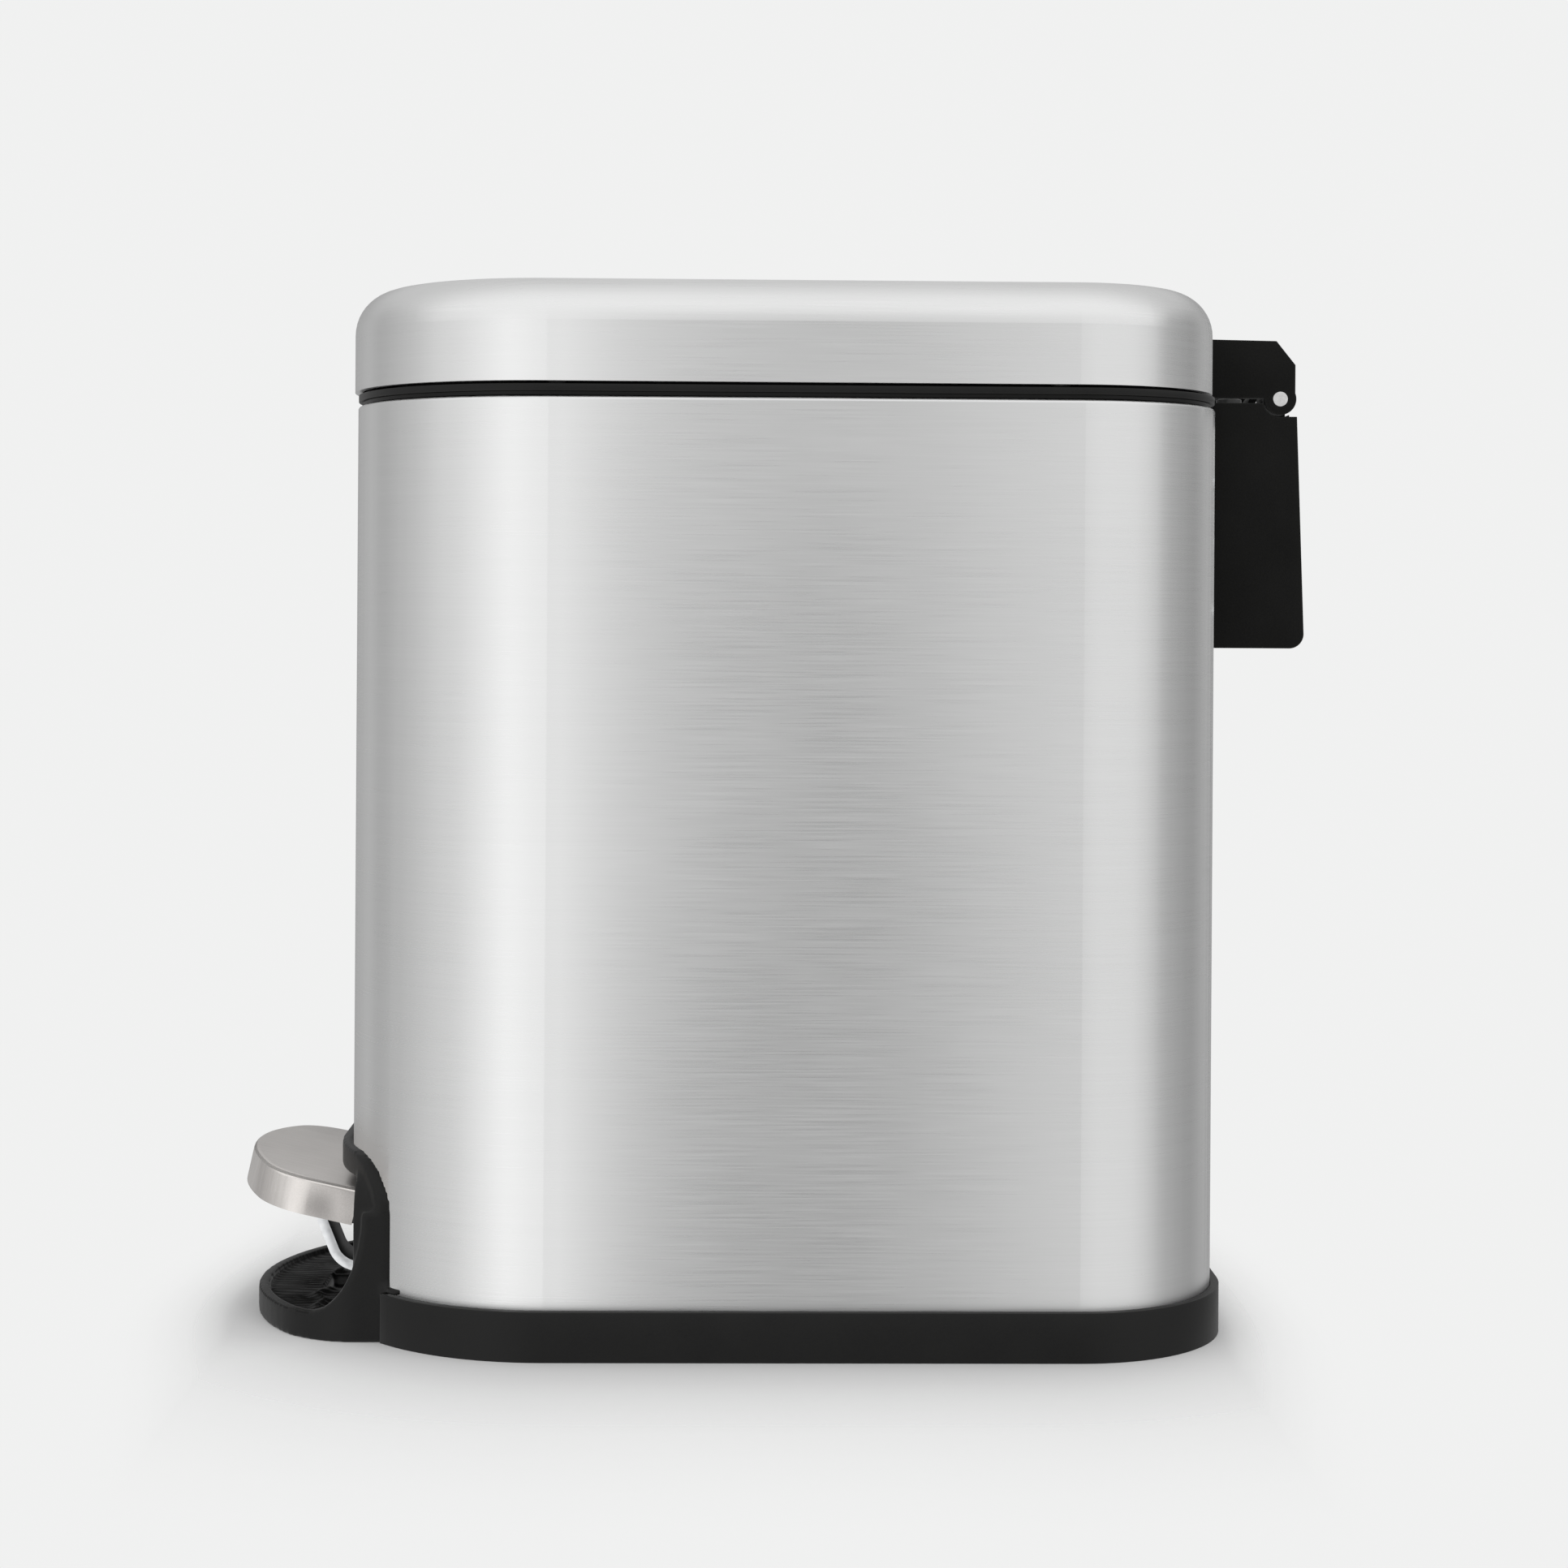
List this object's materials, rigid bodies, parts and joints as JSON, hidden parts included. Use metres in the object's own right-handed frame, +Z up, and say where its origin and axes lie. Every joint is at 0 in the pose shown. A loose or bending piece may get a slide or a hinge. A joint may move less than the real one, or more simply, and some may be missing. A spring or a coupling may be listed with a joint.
{
  "type": "pedal trash can",
  "caption": "Small steel pedal bin with a rounded front, a lift-out plastic bucket, a foot pedal and a rear-hinged lid.",
  "frame": {"origin": "on the floor under the middle of the steel body", "axes": "+Z up, the pedal points along -X, the hinge is at +X, +Y is across"},
  "size_m": [0.2931, 0.1368, 0.2828],
  "materials": {
    "steel": "brushed lengthwise, satin",
    "pedal_steel": "pressed and satin polished",
    "plastic": "fine moulded texture",
    "bucket": "smooth moulded",
    "nylon": "smooth",
    "rubber": "matt",
    "wire": "bright drawn wire",
    "zinc": "zinc plated"
  },
  "bodies": {
    "bin": {"body_shell": "steel", "top_collar": "plastic", "base_pan": "plastic", "base_cover": "plastic", "cover_screws": "zinc", "rubber_feet": "rubber", "pedal_surround": "plastic", "hinge_housing": "plastic", "housing_screws": "zinc", "hinge_pin": "wire", "rod_guide": "nylon", "guide_screws": "zinc", "lever_pin": "wire"},
    "lid": {"lid_shell": "steel", "lid_liner": "plastic", "lid_bumpers": "rubber", "hinge_bracket": "plastic", "bracket_screws": "zinc"},
    "treadle": {"pedal_cap": "pedal_steel", "pedal_core": "plastic", "pedal_rivets": "wire", "pedal_lever": "zinc"},
    "rod": {"push_rod": "wire", "rod_cap": "nylon", "rod_foot": "nylon"},
    "bucket": {"inner_bucket": "bucket"},
    "bail": {"bucket_bail": "wire", "bail_grip": "plastic"}
  },
  "joints": [
    {"name": "lid_hinge", "type": "hinge", "parent": "bin", "child": "lid", "pos_m": [0.1374, 0, 0.2549], "axis": [0, 1, 0], "range_deg": [0, 85]},
    {"name": "pedal_pivot", "type": "hinge", "parent": "bin", "child": "treadle", "pos_m": [-0.025, 0, 0.0166], "axis": [0, -1, 0], "range_deg": [0, 4.5]},
    {"name": "rod_slide", "type": "slide", "parent": "bin", "child": "rod", "axis": [0, 0, 1], "range_m": [0, 0.0103]},
    {"name": "bucket_lift", "type": "slide", "parent": "bin", "child": "bucket", "axis": [0, 0, 1], "range_m": [0, 0.0025]},
    {"name": "bail_swing", "type": "hinge", "parent": "bucket", "child": "bail", "pos_m": [0, 0, 0.2414], "axis": [0, 1, 0], "range_deg": [0, 2.5]}
  ],
  "couplings": [
    {"joint": "pedal_pivot", "follows": "lid_hinge", "ratio": 0.052888},
    {"joint": "rod_slide", "follows": "lid_hinge", "m_per_rad": 0.006936}
  ]
}
